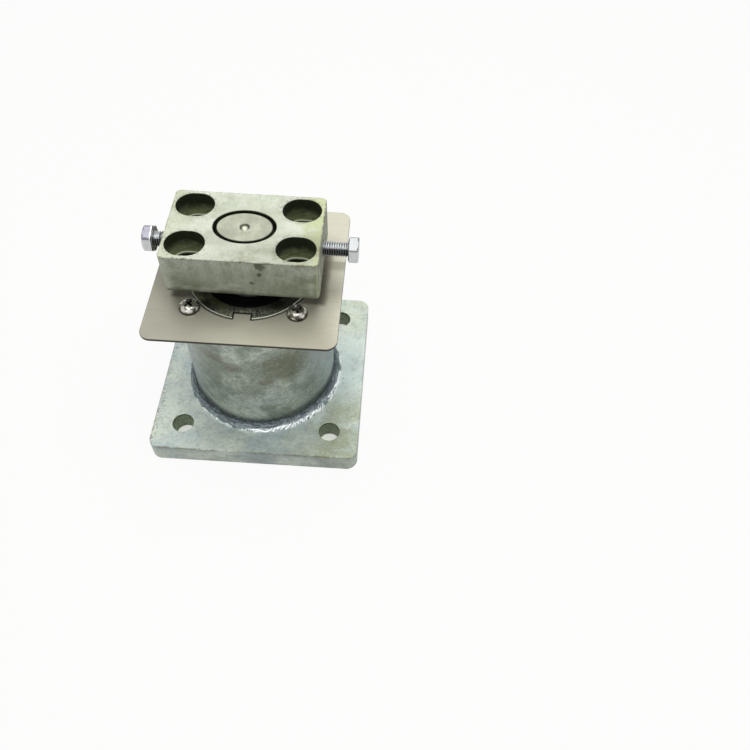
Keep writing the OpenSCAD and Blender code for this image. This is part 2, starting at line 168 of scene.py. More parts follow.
def layers(colour, coats):
    """Coats laid over a colour one after the other, each where its mask is 1."""
    for mask, coat in coats:
        colour = mix(mask, colour, coat)
    return colour


def bumps(height, depth):
    """A bumped normal, depth in millimetres for a height from 0 to 1."""
    return height.node("Bump", {}, {"Height": height, "Distance": depth * MM, "Strength": 1.0})


def corners_of(node):
    """A node's lowest and highest corners, in millimetres."""
    return [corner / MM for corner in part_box(node)]


def quarter(steps):
    """The angles of a quarter turn."""
    return [math.radians(90) * k / steps for k in range(steps + 1)]


def round_rect(length, width, corner, steps=10):
    """A rectangle's outline with round corners, anticlockwise, about its centre."""
    out = []
    for turn, (sx, sy) in enumerate([(1, 1), (-1, 1), (-1, -1), (1, -1)]):
        for k in range(steps + 1):
            a = math.radians(90) * (turn + k / steps)
            out.append((sx * (length / 2 - corner) + corner * math.cos(a),
                        sy * (width / 2 - corner) + corner * math.sin(a)))
    return out


def oval(length, width, steps=128):
    return [(length / 2 * math.cos(2 * math.pi * k / steps),
             width / 2 * math.sin(2 * math.pi * k / steps)) for k in range(steps)]


def circle(radius, steps):
    return oval(2 * radius, 2 * radius, steps)


def moved(outline, x, y):
    return [(px + x, py + y) for px, py in outline]


def skin(rings, n, looped=False):
    """Faces over rings of n points, from the bottom up, with end faces or looped back."""
    faces = [(i * n + k, i * n + (k + 1) % n, (i + 1) % rings * n + (k + 1) % n, (i + 1) % rings * n + k)
             for i in range(rings if looped else rings - 1) for k in range(n)]
    if not looped:
        faces.append(tuple(reversed(range(n))))
        faces.append(tuple(range((rings - 1) * n, rings * n)))
    return faces


def stacked(levels):
    """The points and faces of a closed solid through outlines at heights, from the bottom up."""
    points = [(x, y, z) for outline, z in levels for x, y in outline]
    return points, skin(len(levels), len(levels[0][0]))


def prism(outline, low, high):
    return stacked([(outline, low), (outline, high)])


def slab(length, width, corner, low, high, ease_low, ease_high, steps=4):
    """A block with round corners, its lower and upper edges rounded too."""
    insets = [(ease_low * (1 - math.sin(a)), low + ease_low * (1 - math.cos(a)))
              for a in quarter(steps)]
    insets += [(ease_high * (1 - math.cos(a)), high - ease_high * (1 - math.sin(a)))
               for a in quarter(steps)]
    return stacked([(round_rect(length - 2 * inset, width - 2 * inset, corner - inset), z)
                    for inset, z in insets])


def piece(name, shape):
    """An object from points in millimetres and faces."""
    points, faces = shape
    mesh = bpy.data.meshes.new(name)
    mesh.from_pydata([Vector(point) * MM for point in points], [], faces)
    mesh.validate()
    made = bpy.data.objects.new(name, mesh)
    bpy.context.scene.collection.objects.link(made)
    return made


def cut(made, shapes):
    """Takes shapes away from a piece."""
    tools = [piece("tool", shape) for shape in shapes]
    for tool in tools:
        step = made.modifiers.new("cut", "BOOLEAN")
        step.operation, step.solver, step.object = "DIFFERENCE", "EXACT", tool
    graph = bpy.context.evaluated_depsgraph_get()
    mesh = bpy.data.meshes.new_from_object(made.evaluated_get(graph))
    made.modifiers.clear()
    made.data = mesh
    for tool in tools:
        bpy.data.objects.remove(tool)


def polished(made, material, crease=32):
    """Smooth shading with true creases, and the finish."""
    made.data.materials.clear()
    made.data.materials.append(material)
    made.data.shade_smooth()
    made.data.set_sharp_from_angle(angle=math.radians(crease))
    weighted = made.modifiers.new("weighted", "WEIGHTED_NORMAL")
    weighted.keep_sharp, weighted.weight = True, 80


base_low, base_high = corners_of("base_plate")
base_w, base_t = base_high.x - base_low.x, base_high.z
base_corner, base_foot_ease, base_ease = 6.5, 0.4, 0.8
anchor_at, anchor_d, anchor_ease = 44.5, 12.4, 0.5
tube_foot_r = 43.5

base = piece("floor_plate", slab(base_w, base_w, base_corner, 0, base_t, base_foot_ease, base_ease))
hole = [(circle(anchor_d / 2 + grow, 72), z) for grow, z in (
    (0.6, -1), (0.3, 0), (0, 0.3), (0, base_t - anchor_ease), (0.18, base_t - 0.15),
    (anchor_ease, base_t), (anchor_ease, base_t + 1))]
cut(base, [stacked([(moved(outline, x, y), z) for outline, z in hole])
           for x in (-anchor_at, anchor_at) for y in (-anchor_at, anchor_at)])

plate_pale, plate_blue, plate_green = tint(214, 224, 210), tint(186, 201, 204), tint(192, 199, 168)
plate_brown, plate_dark, hole_wall_shade = tint(124, 112, 84), tint(124, 138, 137), tint(150, 164, 134)
plate_wiped, plate_trodden, plate_speck = tint(216, 231, 229), tint(146, 150, 106), tint(232, 240, 230)
plate_lip, plate_sole = tint(104, 106, 84), tint(84, 82, 66)
hole_grime, hole_brim_shade = tint(70, 78, 58), tint(40, 44, 26)


def plate_finish():
    material, place = finish("cloudy zinc on plate")
    x, y, z = axes(place)
    half = base_w / 2
    wide = clouds(place, 34, 6, 0.66)
    streaks = clouds(place, 12, 6, 0.68, stretch=(0.6, 1, 1), shift=40)
    fine = clouds(place, 1.5, 4, 0.72, stretch=(0.6, 1, 1), shift=11)
    blots = clouds(place, 5, 6, 0.72, shift=29)
    patches = fade(streaks, 0.3, 0.6)
    near_weld = (1 - fade(length(x, y), tube_foot_r + 3, tube_foot_r + 24)) * fade(streaks, 0.34, 0.6)
    cool = fade(wide, 0.44, 0.6) * (1 - fade(x, 5, 45) * 0.25) * 0.75 + near_weld * 0.6
    top = fade(z, base_t - 0.9, base_t - 0.2)
    trodden = top * fade(x, 24, 48) * fade(-y, 12, 36) * fade(streaks, 0.28, 0.56)
    left_side = fade(abs(x), half - 5, half - 0.5) * fade(-x, 0, 20)
    front_side = fade(-y, half - 1.4, half - 0.6) * (fade(z, base_t - 2.4, base_t - 0.5) * 0.6 + 0.2)
    flecks = fade(clouds(place, 2.0, 4, 0.7, shift=71), 0.5, 0.6) * (left_side + front_side)
    lip = fade(-y, half - 0.9, half - 0.5) * fade(z, base_t - 0.9, base_t - 0.6)
    sides = fade(most(abs(y), abs(x)), half - 0.7, half - 0.1)
    sole = sides * (1 - fade(z, 0.4, 1.1))
    # Painted shade: the anchor holes' walls are darker, darkest in a band just under the brim.
    in_hole = 1 - fade(square(abs(x) - anchor_at, abs(y) - anchor_at),
                       (anchor_d / 2 + 0.1) ** 2, (anchor_d / 2 + 0.35) ** 2)
    brim = between(z, base_t - 1.6, base_t - 1.0, base_t - 0.6, base_t - 0.35)
    colour = layers(plate_pale, (
        (least(cool, 1.0), plate_blue),
        (fade(streaks, 0.3, 0.68) * fade(x, -20, 52) * 0.5, plate_green),
        (fade(fine, 0.48, 0.7) * 0.38, plate_dark),
        (fade(x, -44, -16) * fade(-y, 30, 60) * patches * 0.3, plate_dark),
        (fade(x, 30, 48) * between(y, -20, -6, 26, 40) * patches * 0.6, plate_wiped),
        (top * fade(x, 2, 20) * fade(-y, 38, 52) * 0.16, plate_dark),
        (trodden * 0.58, plate_trodden),
        (fade(-x, 10, 60) * patches * 0.1, plate_dark),
        (flecks * 0.7, plate_brown),
        (fade(blots, 0.48, 0.66) * 0.3, plate_dark),
        (fade(clouds(place, 1.3, 4, 0.7, shift=53), 0.56, 0.66) * 0.4, plate_speck),
        (lip * (fade(streaks, 0.44, 0.56) * 0.45 + 0.15), plate_lip),
        (fade(clouds(place, 1.7, 3, 0.6, shift=97), 0.66, 0.72) * 0.5, plate_brown),
        (sides * (1 - top) * fade(streaks, 0.4, 0.6) * 0.25, plate_dark),
        (sole * (fade(streaks, 0.4, 0.55) * 0.4 + 0.4), plate_sole),
        (in_hole * 0.9, hole_wall_shade),
        (in_hole * fade(fine, 0.46, 0.6) * 0.45, hole_grime),
        (in_hole * brim * 0.85, hole_brim_shade)))
    return surface(material, {
        "Base Color": colour, "Metallic": 0.35,
        "Roughness": fade(wide + fine * 0.3, 0.2, 1.0) * 0.2 + 0.38,
        "Normal": bumps(wide * 0.5 + fine * 0.35, 0.14)})


polished(base, plate_finish())
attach(base, "base")
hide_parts("base_plate")

# ---- the housing tube ----
# A length of thick seamless tube, bored for the bearings from above and zinc
# plated with the plate. Handling has left brown and grey stains halfway up.

tube_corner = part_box("housing_tube")[1]
tube_or, rim_z = tube_corner.x / MM, tube_corner.z / MM
thread_r, seat_r, ledge_r = 34.0, 31.02, 25.0
ledge_z, thread_foot_z = 18.0, 88.0
screw_at, tapped_r, tapped_deep = tube_or - 3.5, 2.55, 12.0
screw_places = [(screw_at * math.cos(math.radians(a)), screw_at * math.sin(math.radians(a)))
                for a in (45, 135, 225, 315)]


def eased(corners, steps=4):
    """Corners as (out, up, ease), each rounded off over its ease along both sides."""
    out = []
    for i, (x, y, ease) in enumerate(corners):
        here = Vector((x, y))
        if not ease:
            out.append((x, y))
            continue
        before, after = Vector(corners[i - 1][:2]), Vector(corners[(i + 1) % len(corners)][:2])
        a = here + (before - here).normalized() * ease
        b = here + (after - here).normalized() * ease
        for k in range(steps + 1):
            s = k / steps
            out.append(tuple(a * (1 - s) ** 2 + here * (2 * s * (1 - s)) + b * s * s))
    return out


def turned(profile, steps=192, ring=True):
    """A profile of (radius, height) turned about Z. A ring's profile is a closed loop,
    anticlockwise; the others run up from the middle of the foot to the middle of the top."""
    points = [(r * math.cos(2 * math.pi * k / steps), r * math.sin(2 * math.pi * k / steps), z)
              for r, z in profile for k in range(steps)]
    return points, skin(len(profile), steps, ring)


def screw_holes(radius, low, high):
    return [prism(moved(circle(radius, 32), x, y), low, high) for x, y in screw_places]


tube = piece("housing", turned(eased([
    (ledge_r, base_t, 0), (tube_or, base_t, 0), (tube_or, rim_z, 0.7), (thread_r, rim_z, 0.4),
    (thread_r, thread_foot_z, 0), (seat_r, thread_foot_z, 0), (seat_r, ledge_z, 0),
    (ledge_r, ledge_z, 0)])))
cut(tube, screw_holes(tapped_r, rim_z - tapped_deep, rim_z + 1))

tube_pale, tube_grey, tube_flank_reflection = tint(218, 228, 214), tint(150, 162, 146), tint(142, 160, 166)
tube_stain, tube_dark, tube_foot_tint_and_shade = tint(120, 112, 90), tint(82, 92, 82), tint(48, 60, 58)
tube_olive, tube_wiped = tint(110, 110, 82), tint(200, 212, 206)
# Stains on the front: how far right and how high, their half sizes and colours.
stain_marks = ((-8, 71, 6, 5, tube_stain), (-19, 76, 7, 4, tube_stain), (20, 70, 13, 13, tube_olive),
               (10, 58, 4, 2.5, tube_stain), (13, 41, 12, 7, tube_wiped), (-4, 39, 10, 6, tube_wiped))
# Fine scratches: how wide in millimetres, their slant in degrees, their place and strength.
scratch_marks = ((0.6, 40, 3, 0.24), (0.55, -32, 19, 0.2), (0.5, 84, 47, 0.2))


def tube_finish():
    material, place = finish("stained zinc on tube")
    x, y, z = axes(place)
    around = y.sum("ARCTAN2", y, x) * tube_or
    unrolled = place.node("CombineXYZ", {}, {0: around, 1: z, 2: 0.0})

    def scratches(size, angle, shift):
        slanted = unrolled.node("VectorRotate", {"rotation_type": "Z_AXIS"}, {
            "Vector": unrolled, "Angle": math.radians(angle)})
        return clouds(slanted, size, 2, 0.5, stretch=(0.14, 1, 1), shift=shift)

    wide = clouds(place, 20, 5, 0.62, shift=7)
    rubbed = clouds(place, 4, 6, 0.76, stretch=(0.8, 0.8, 1), shift=61)
    fine = clouds(place, 0.9, 3, 0.7)
    coats = [(fade(wide + (1 - fade(z, 28, 58)) * 0.07, 0.42, 0.62), tube_pale),
             # Painted reflection: the tube's flanks, left and right, are bluer.
             (fade(abs(x), 20, 40) * (fade(wide, 0.4, 0.6) * 0.4 + 0.5), tube_flank_reflection)]
    for right, high, half_w, half_h, stain in stain_marks:
        away = square((x - right) / half_w, (z - high) / half_h) + (rubbed - 0.5) * 4.0
        coats.append(((1 - fade(away, 0.1, 1.5)) * fade(-y, 10, 30) * 0.7, stain))
    coats.append((fade(rubbed, 0.42, 0.66) * 0.4, tube_dark))
    for size, angle, shift, strength in scratch_marks:
        coats.append((fade(scratches(size, angle, shift), 0.5, 0.66) * strength, tube_dark))
        coats.append((fade(scratches(size, angle, shift + 7), 0.56, 0.7) * strength, tube_pale))
    coats.append((fade(fine, 0.48, 0.66) * 0.35, tube_dark))
    # Heat tint and painted shade: darker just above the weld, reaching higher on the tube's flanks.
    heat_tint_and_shade = 1 - fade(z + (rubbed - 0.5) * 10 - fade(abs(x), 6, 30) * 4, base_t + 4.5, base_t + 11)
    coats.append((heat_tint_and_shade * (fade(fine, 0.4, 0.6) * 0.3 + 0.6), tube_foot_tint_and_shade))
    return surface(material, {
        "Base Color": layers(tube_grey, coats), "Metallic": 0.45,
        "Roughness": fade(wide, 0.3, 0.7) * 0.12 + 0.36,
        "Normal": bumps(wide * 0.4 + rubbed * 0.3 + fine * 0.3, 0.14)})


polished(tube, tube_finish())
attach(tube, "base")
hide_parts("housing_tube")

# ---- the weld ----
# One run of arc weld all round the tube's foot. Each drop of metal froze over the last, so the bead is
# rippled in bowed steps. Its colour holds a painted highlight along the toe, strongest at the front right,
# and a painted dark reflection towards the tube.

weld_steps, weld_arc, weld_leg, weld_pitches = 1440, 22, 5.0, 156
weld_r, weld_z = tube_or + 0.01, base_t - 0.05


def lumps(u, v, layer):
    return noise.noise(Vector((u, v, layer)))


def weld_bead():
    """The bead's points and faces, and its painted highlight at each point, from 0 to 1."""
    points, faces, shine = [], [], []
    for i in range(weld_steps):
        a = 2 * math.pi * i / weld_steps
        along = a * tube_or
        drift = 2.6 * math.sin(3 * a + 0.6) + 1.4 * math.sin(8 * a + 2) + 0.7 * math.sin(19 * a)
        # hot marks where the ripples stand proudest and the painted highlight is strongest, at the front
        # right.
        hot = 0.5 + 0.5 * math.cos(a + 0.75)
        inner = 0.9 - 0.36 * hot ** 8
        reach = (weld_leg - 0.5 + 0.15 * math.sin(7 * a) * math.cos(3 * a)
                 + 0.4 * lumps(along / 3, 0, 5) + 0.25 * lumps(along / 1.1, 0, 13))
        ring = [(weld_r, weld_z)]
        shine.append(0.0)
        for t in quarter(weld_arc):
            wave = (weld_pitches * a / (2 * math.pi) + drift - 0.9 * math.sin(2 * t)) % 1
            step = (1 - wave) ** 1.3 * min(1, wave / 0.14)
            swell = 0.3 * step * hot + 0.35 * lumps(along / 4, t * 3, 1)
            proud = reach * (1 + 0.26 * math.sin(2 * t)) + swell * math.sin(2 * t + 0.35)
            scallop = 0.35 * hot * step * max(0, math.cos(t)) ** 3
            across_bead = (proud + scallop) / (math.cos(t) + math.sin(t))
            ring.append((weld_r + across_bead * math.cos(t), weld_z + across_bead * math.sin(t)))
            # The painted highlight along the toe, darkening towards the tube as a painted reflection.
            toe = min(1, max(0, math.cos(t) - inner) / (0.96 - inner))
            drop, grain = lumps(along / 6, t * 1.4, 9), lumps(along / 1.5 - t * 2, t * 4, 17)
            glint = (0.12 + 0.4 * hot + (0.9 * drop + 0.7 * grain) * (0.7 + 0.3 * hot)
                     + 0.5 * (step - 0.5) * hot)
            run = lumps(along / 7, t * 6, 31) + 0.6 * lumps(along / 1.6, t * 5, 37)
            shine.append(0.4 * math.cos(t) + 0.2 * run + 0.7 * min(1, max(0, glint / 0.6)) * toe)
        points += [(r * math.cos(a), r * math.sin(a), z) for r, z in ring]
    n = weld_arc + 2
    for i in range(weld_steps):
        j = (i + 1) % weld_steps
        faces += [(i * n + k, j * n + k, j * n + (k + 1) % n, i * n + (k + 1) % n)
                  for k in range(n)]
    return (points, faces), shine


bead, shine = weld_bead()
weld = piece("weld", bead)
weld.data.attributes.new("shine", "FLOAT", "POINT").data.foreach_set("value", shine)
weld_grey, weld_dark_reflection, weld_highlight = tint(148, 161, 165), tint(52, 62, 65), tint(250, 253, 254)


def weld_finish():
    material, place = finish("weld metal, painted highlight and reflection")
    blotch = clouds(place, 3, 5, 0.75)
    grit = clouds(place, 0.7, 3, 0.7, shift=17)
    crest = place.node("Attribute", {"attribute_name": "shine"}, out="Fac")
    bright = fade(crest, 0.46, 0.84)
    colour = layers(weld_dark_reflection, (
        (fade(crest + (blotch - 0.5) * 0.5, 0.0, 0.55), weld_grey), (bright, weld_highlight)))
    return surface(material, {
        "Base Color": colour, "Metallic": bright * 0.4 + 0.6,
        "Roughness": fade(grit, 0.3, 0.7) * 0.2 + 0.3 - bright * 0.16,
        "Normal": bumps(grit, 0.06)})


polished(weld, weld_finish(), 60)
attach(weld, "base")
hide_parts("weld_bead")

# ---- the bearings inside the tube ----
# A tapered roller bearing carries the door's weight and a ball bearing
# steadies the spindle above it. Rings and rollers are hardened steel, ground
# and oiled; one cage is pressed steel, the other turned brass.


def bearing_finish(name, colour, roughness, lay):
    """Ground or turned metal with a little oil on it. Its fine marks are stretched by lay."""
    material, place = finish(name)
    marks = clouds(place, 0.35, 2, 0.6, stretch=lay)
    oil = clouds(place, 7, 3, 0.5, shift=23)
    oiled = [level * 0.72 for level in colour[:3]] + [1]
    return surface(material, {
        "Base Color": mix(fade(oil, 0.4, 0.66), colour, oiled), "Metallic": 1.0,
        "Roughness": fade(oil, 0.3, 0.7) * 0.1 + roughness, "Normal": bumps(marks, 0.01)})


lathe_lay, press_lay, even_lay = (0.1, 0.1, 1), (1, 1, 0.3), (1, 1, 1)

for names, finish_name, colour, roughness, lay in (
        (("lower_cup", "lower_cone", "upper_outer_ring", "upper_inner_ring"),
         "ground bearing steel", tint(178, 181, 183), 0.2, lathe_lay),
        (("lower_rollers", "upper_balls"), "polished rolling steel", tint(212, 215, 217), 0.1, even_lay),
        (("lower_cage",), "pressed cage steel", tint(128, 131, 134), 0.38, press_lay),
        (("upper_cage",), "turned cage brass", tint(196, 164, 92), 0.3, lathe_lay),
        (("spacer_sleeve",), "turned spacer steel", tint(150, 154, 150), 0.36, lathe_lay),
        (("seal_spring",), "spring wire", tint(170, 173, 175), 0.25, even_lay),
        (("circlip",), "blackened spring steel", tint(66, 68, 70), 0.42, even_lay)):
    metal = bearing_finish(finish_name, colour, roughness, lay)
    for name in names:
        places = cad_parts[name].material_slots
        for place in places:
            place.material = metal
        if not places:
            raise SystemExit(name + " has no material slot")

# ---- the spindle ----
# A turned steel bar. Its oval tenon stands in the door block, and its top
# still has the turning marks and the centre drill's mark from the lathe.

spindle_low, spindle_high = corners_of("spindle")
block_low, block_high = corners_of("door_block")
tenon_top = spindle_high.z
bore_r, shoulder_r, shoulder_z, upper_z, nut_z = 17.5, 21.0, 36.0, 76.0, 90.0
groove_deep, groove_w = 1.0, 1.6
tenon_l, tenon_w, tenon_ease = 29.2, 20.8, 0.35


def spindle_shape():
    """A turned bar up to the block, with a clip's groove, and an oval tenon on it."""
    profile = eased([
        (0.001, spindle_low.z, 0), (bore_r, spindle_low.z, 1), (bore_r, shoulder_z, 0),
        (shoulder_r, shoulder_z, 0.4), (shoulder_r, upper_z, 0.4), (bore_r, upper_z, 0),
        (bore_r, nut_z, 0), (bore_r - groove_deep, nut_z, 0), (bore_r - groove_deep, nut_z + groove_w, 0),
        (bore_r, nut_z + groove_w, 0), (bore_r, block_low.z, 0.5)])
    levels = [(circle(r, 128), z) for r, z in profile[1:]]
    levels.append((oval(tenon_l, tenon_w), block_low.z))
    for a in quarter(4):
        inset = tenon_ease * (1 - math.cos(a))
        levels.append((oval(tenon_l - 2 * inset, tenon_w - 2 * inset),
                       tenon_top - tenon_ease * (1 - math.sin(a))))
    return stacked(levels)


spindle = piece("spindle_shade_under_block", spindle_shape())
# The centre drill's mark: how far out and how far above the tenon's top.
centre_mark = [(0.9, -2.5), (0.9, -1.6), (2.45, -0.1), (2.65, 0.02), (2.9, 1)]
cut(spindle, [turned([(r, tenon_top + z) for r, z in centre_mark], 64, ring=False)])

spindle_grey, spindle_pale, spindle_marks = tint(168, 172, 153), tint(188, 192, 172), tint(140, 143, 126)
spindle_shade_under_block, tenon_edge_shade = tint(132, 134, 124), tint(34, 36, 28)
pit_shade, pit_highlight = tint(76, 80, 62), tint(244, 246, 232)


def lathe_marks(out, up, size):
    """Fine rings round Z, from how far out and how far up a point is."""
    return clouds(out.node("CombineXYZ", {}, {0: out, 1: up, 2: 0.0}), size, 3, 0.7)


def spindle_finish():
    material, place = finish("turned spindle steel")
    x, y, z = axes(place)
    out = length(x, y)
    rings = lathe_marks(out, z, 0.5)
    cloud = clouds(place, 6, 4, 0.6)
    rim = square(x / (tenon_l / 2), y / (tenon_w / 2))
    # The centre drill's mark: a painted highlight in the middle and a painted shade ring round it.
    pit = (1 - fade(out, 2.5, 2.75)) * fade(z, block_high.z - 5, block_high.z - 4)
    colour = layers(spindle_grey, (
        (fade(cloud, 0.35, 0.68), spindle_pale),
        (fade(rings, 0.45, 0.7) * 0.4, spindle_marks),
        # Painted shade on the bar under the block.
        ((1 - fade(z, block_low.z - 1, block_low.z)) * 0.5, spindle_shade_under_block),
        # Painted shade round the tenon's top edge, in the gap to the block.
        (fade(rim, 0.92, 0.945) * fade(z, tenon_top - 2, tenon_top - 1) * 0.9, tenon_edge_shade),
        (pit, mix(1 - fade(out, 0.9, 2.0), pit_shade, pit_highlight))))
    return surface(material, {
        "Base Color": colour, "Metallic": 0.6, "Roughness": fade(cloud, 0.3, 0.7) * 0.12 + 0.34,
        "Normal": bumps(rings, 0.03)})


polished(spindle, spindle_finish(), 26)
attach(spindle, "turning_spindle")
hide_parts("spindle")

# ---- the ring nut and its oil seal ----
# The nut screws into the tube and holds the bearings down. Four spanner slots
# are milled in its rim, and a black rubber seal is pressed into its bore.

nut_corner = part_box("ring_nut")[1]
nut_or, nut_top = nut_corner.x / MM, nut_corner.z / MM
seal_r, lip_r, relief_r, seal_foot, relief_top = 26.0, 23.0, 27.0, nut_top - 7.3, nut_z + 2
slot_w, slot_deep, slot_h = 10.4, 4.4, 5.0


def spun(outline, degrees):
    c, s = math.cos(math.radians(degrees)), math.sin(math.radians(degrees))
    return [(x * c - y * s, x * s + y * c) for x, y in outline]


nut = piece("bearing_nut", turned(eased([
    (relief_r, nut_z, 0.3), (nut_or, nut_z, 0.8), (nut_or, nut_top, 0.45), (seal_r, nut_top, 0.3),
    (seal_r, seal_foot, 0), (lip_r, seal_foot, 0.2), (lip_r, relief_top, 0.2), (relief_r, relief_top, 0)])))
spanner_slot = [(thread_r - slot_deep, -slot_w / 2), (thread_r + 3, -slot_w / 2),
                (thread_r + 3, slot_w / 2), (thread_r - slot_deep, slot_w / 2)]
cut(nut, [prism(spun(spanner_slot, turn), nut_top - slot_h, nut_top + 1) for turn in (0, 90, 180, 270)])

nut_dark, nut_grey, nut_shade_under_block = tint(62, 65, 50), tint(106, 109, 94), tint(16, 17, 9)
nut_bright, nut_slot_shade, nut_block_reflection, nut_rim_highlight = (
    tint(206, 210, 196), tint(14, 14, 10), tint(92, 92, 56), tint(178, 181, 168))


def nut_finish():
    material, place = finish("oiled nut steel")
    x, y, z = axes(place)
    out = length(x, y)
    rings = lathe_marks(out, z, 0.4)
    oil = clouds(place, 8, 4, 0.6)
    # Painted shade on the nut under the block and on its left.
    shaded_under_block = most(fade(y, -30, -24), fade(-x, 8, 22))
    toward_front = fade(-y, 24, 34) * (1 - fade(abs(x), 8, 28))
    flecks = fade(clouds(place, 1.2, 4, 0.7, shift=33), 0.47, 0.62)
    # Painted shade down in the spanner slots.
    in_slot = ((1 - fade(abs(x), slot_w / 2 + 0.1, slot_w / 2 + 0.3))
               * fade(out, thread_r - slot_deep - 0.5, thread_r - slot_deep))
    # Painted reflection of the block's underside on the nut's left front.
    block_reflection = fade(-x, 4, 12) * fade(-y, 16, 22) * fade(oil, 0.4, 0.55)
    # A painted highlight along the nut's outer rim.
    edge = fade(out, nut_or - 0.6, nut_or - 0.35) * fade(z, nut_top - 1.0, nut_top - 0.5)
    colour = layers(nut_dark, (
        (fade(oil, 0.38, 0.66), nut_grey), (shaded_under_block * 0.8, nut_shade_under_block),
        (flecks * (toward_front * 0.75 + 0.03), nut_bright),
        (in_slot * (1 - fade(z, nut_top - 0.4, nut_top - 0.1)), nut_slot_shade),
        (block_reflection * 0.5, nut_block_reflection), (edge, nut_rim_highlight)))
    return surface(material, {
        "Base Color": colour, "Metallic": 0.55, "Roughness": fade(oil, 0.3, 0.7) * 0.15 + 0.3,
        "Normal": bumps(rings, 0.03)})


polished(nut, nut_finish())
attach(nut, "base")
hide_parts("ring_nut")

seal_low, seal_top = (corner.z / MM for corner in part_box("oil_seal"))
press_r, neck_r, cup_r = seal_r - 0.04, bore_r + 0.8, 20.3
step_z, shelf_z = seal_top - 0.5, seal_top - 1.6

seal = piece("shaft_seal", turned(eased([
    (press_r, seal_low, 0.2), (press_r, seal_top, 0.4), (seal_r - 2.2, seal_top, 0.2),
    (seal_r - 2.6, step_z, 0.2), (neck_r + 2.6, step_z, 0.2), (neck_r + 2.2, seal_top, 0.2),
    (neck_r, seal_top, 0.3), (neck_r, seal_top - 3.2, 0), (bore_r + 0.08, seal_top - 4.9, 0),
    (bore_r + 1.2, seal_low + 0.7, 0), (cup_r, seal_low + 0.7, 0), (cup_r, seal_top - 4.2, 0),
    (cup_r - 0.3, shelf_z, 0), (seal_r - 1.5, shelf_z, 0), (seal_r - 1.5, seal_low, 0)])))


def seal_finish():
    material, place = finish("black seal rubber")
    grain = clouds(place, 0.5, 3, 0.7)
    dust = clouds(place, 5, 4, 0.65, shift=9)
    return surface(material, {
        "Base Color": mix(fade(dust, 0.5, 0.72), tint(3, 3, 3), tint(9, 9, 8)),
        "Metallic": 0.0, "Specular IOR Level": 0.06,
        "Roughness": fade(dust, 0.3, 0.7) * 0.2 + 0.65, "Normal": bumps(grain, 0.03)})


polished(seal, seal_finish())
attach(seal, "base")
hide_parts("oil_seal")

# ---- the cover plate ----
# A square of brushed stainless sheet, laser cut. Its one tab drops into a
# spanner slot of the nut and locks it.

cover_low, cover_high = corners_of("cover_plate")
cover_w, cover_corner, cover_ease, clear_r = cover_high.x - cover_low.x, 6.0, 0.18, 2.7
opening_r, tab_half, tab_r = thread_r + 0.8, slot_w / 2 - 0.6, thread_r - slot_deep + 0.6


def cover_opening():
    """The round cut-out's outline, with the tab standing into it at the front."""
    half = math.asin(tab_half / opening_r)
    start, end = -math.pi / 2 + half, 3 * math.pi / 2 - half
    angles = [start + (end - start) * k / 160 for k in range(161)]
    return [(opening_r * math.cos(a), opening_r * math.sin(a)) for a in angles] + [
        (-tab_half, -tab_r), (tab_half, -tab_r)]


cover = piece("cover_sheet", slab(
    cover_w, cover_w, cover_corner, cover_low.z, cover_high.z, cover_ease, cover_ease, 3))
cut(cover, [prism(cover_opening(), cover_low.z - 1, cover_high.z + 1)]
    + screw_holes(clear_r, cover_low.z - 1, cover_high.z + 1))

cover_grey, cover_pale, cover_painted_shade = tint(176, 173, 157), tint(190, 187, 171), tint(150, 148, 134)
cover_front_shade, cover_painted_reflection, cover_painted_shadow = tint(154, 150, 132), tint(216, 213, 194), tint(112, 108, 90)
cover_block_shade, cover_lines, cover_burn_and_gap_shade = tint(64, 60, 48), tint(146, 142, 126), tint(30, 28, 22)
screw_shade, cover_edge = tint(40, 37, 30), tint(44, 38, 27)


def outside(x, y, half_l, half_w):
    """How far a point is outside a rectangle about the centre."""
    return length(most(abs(x) - half_l, 0.0), most(abs(y) - half_w, 0.0))


def from_screw(x, y):
    """The square of how far a point is from the nearest cover screw's axis."""
    return square(abs(x) - screw_places[0][0], abs(y) - screw_places[0][1])


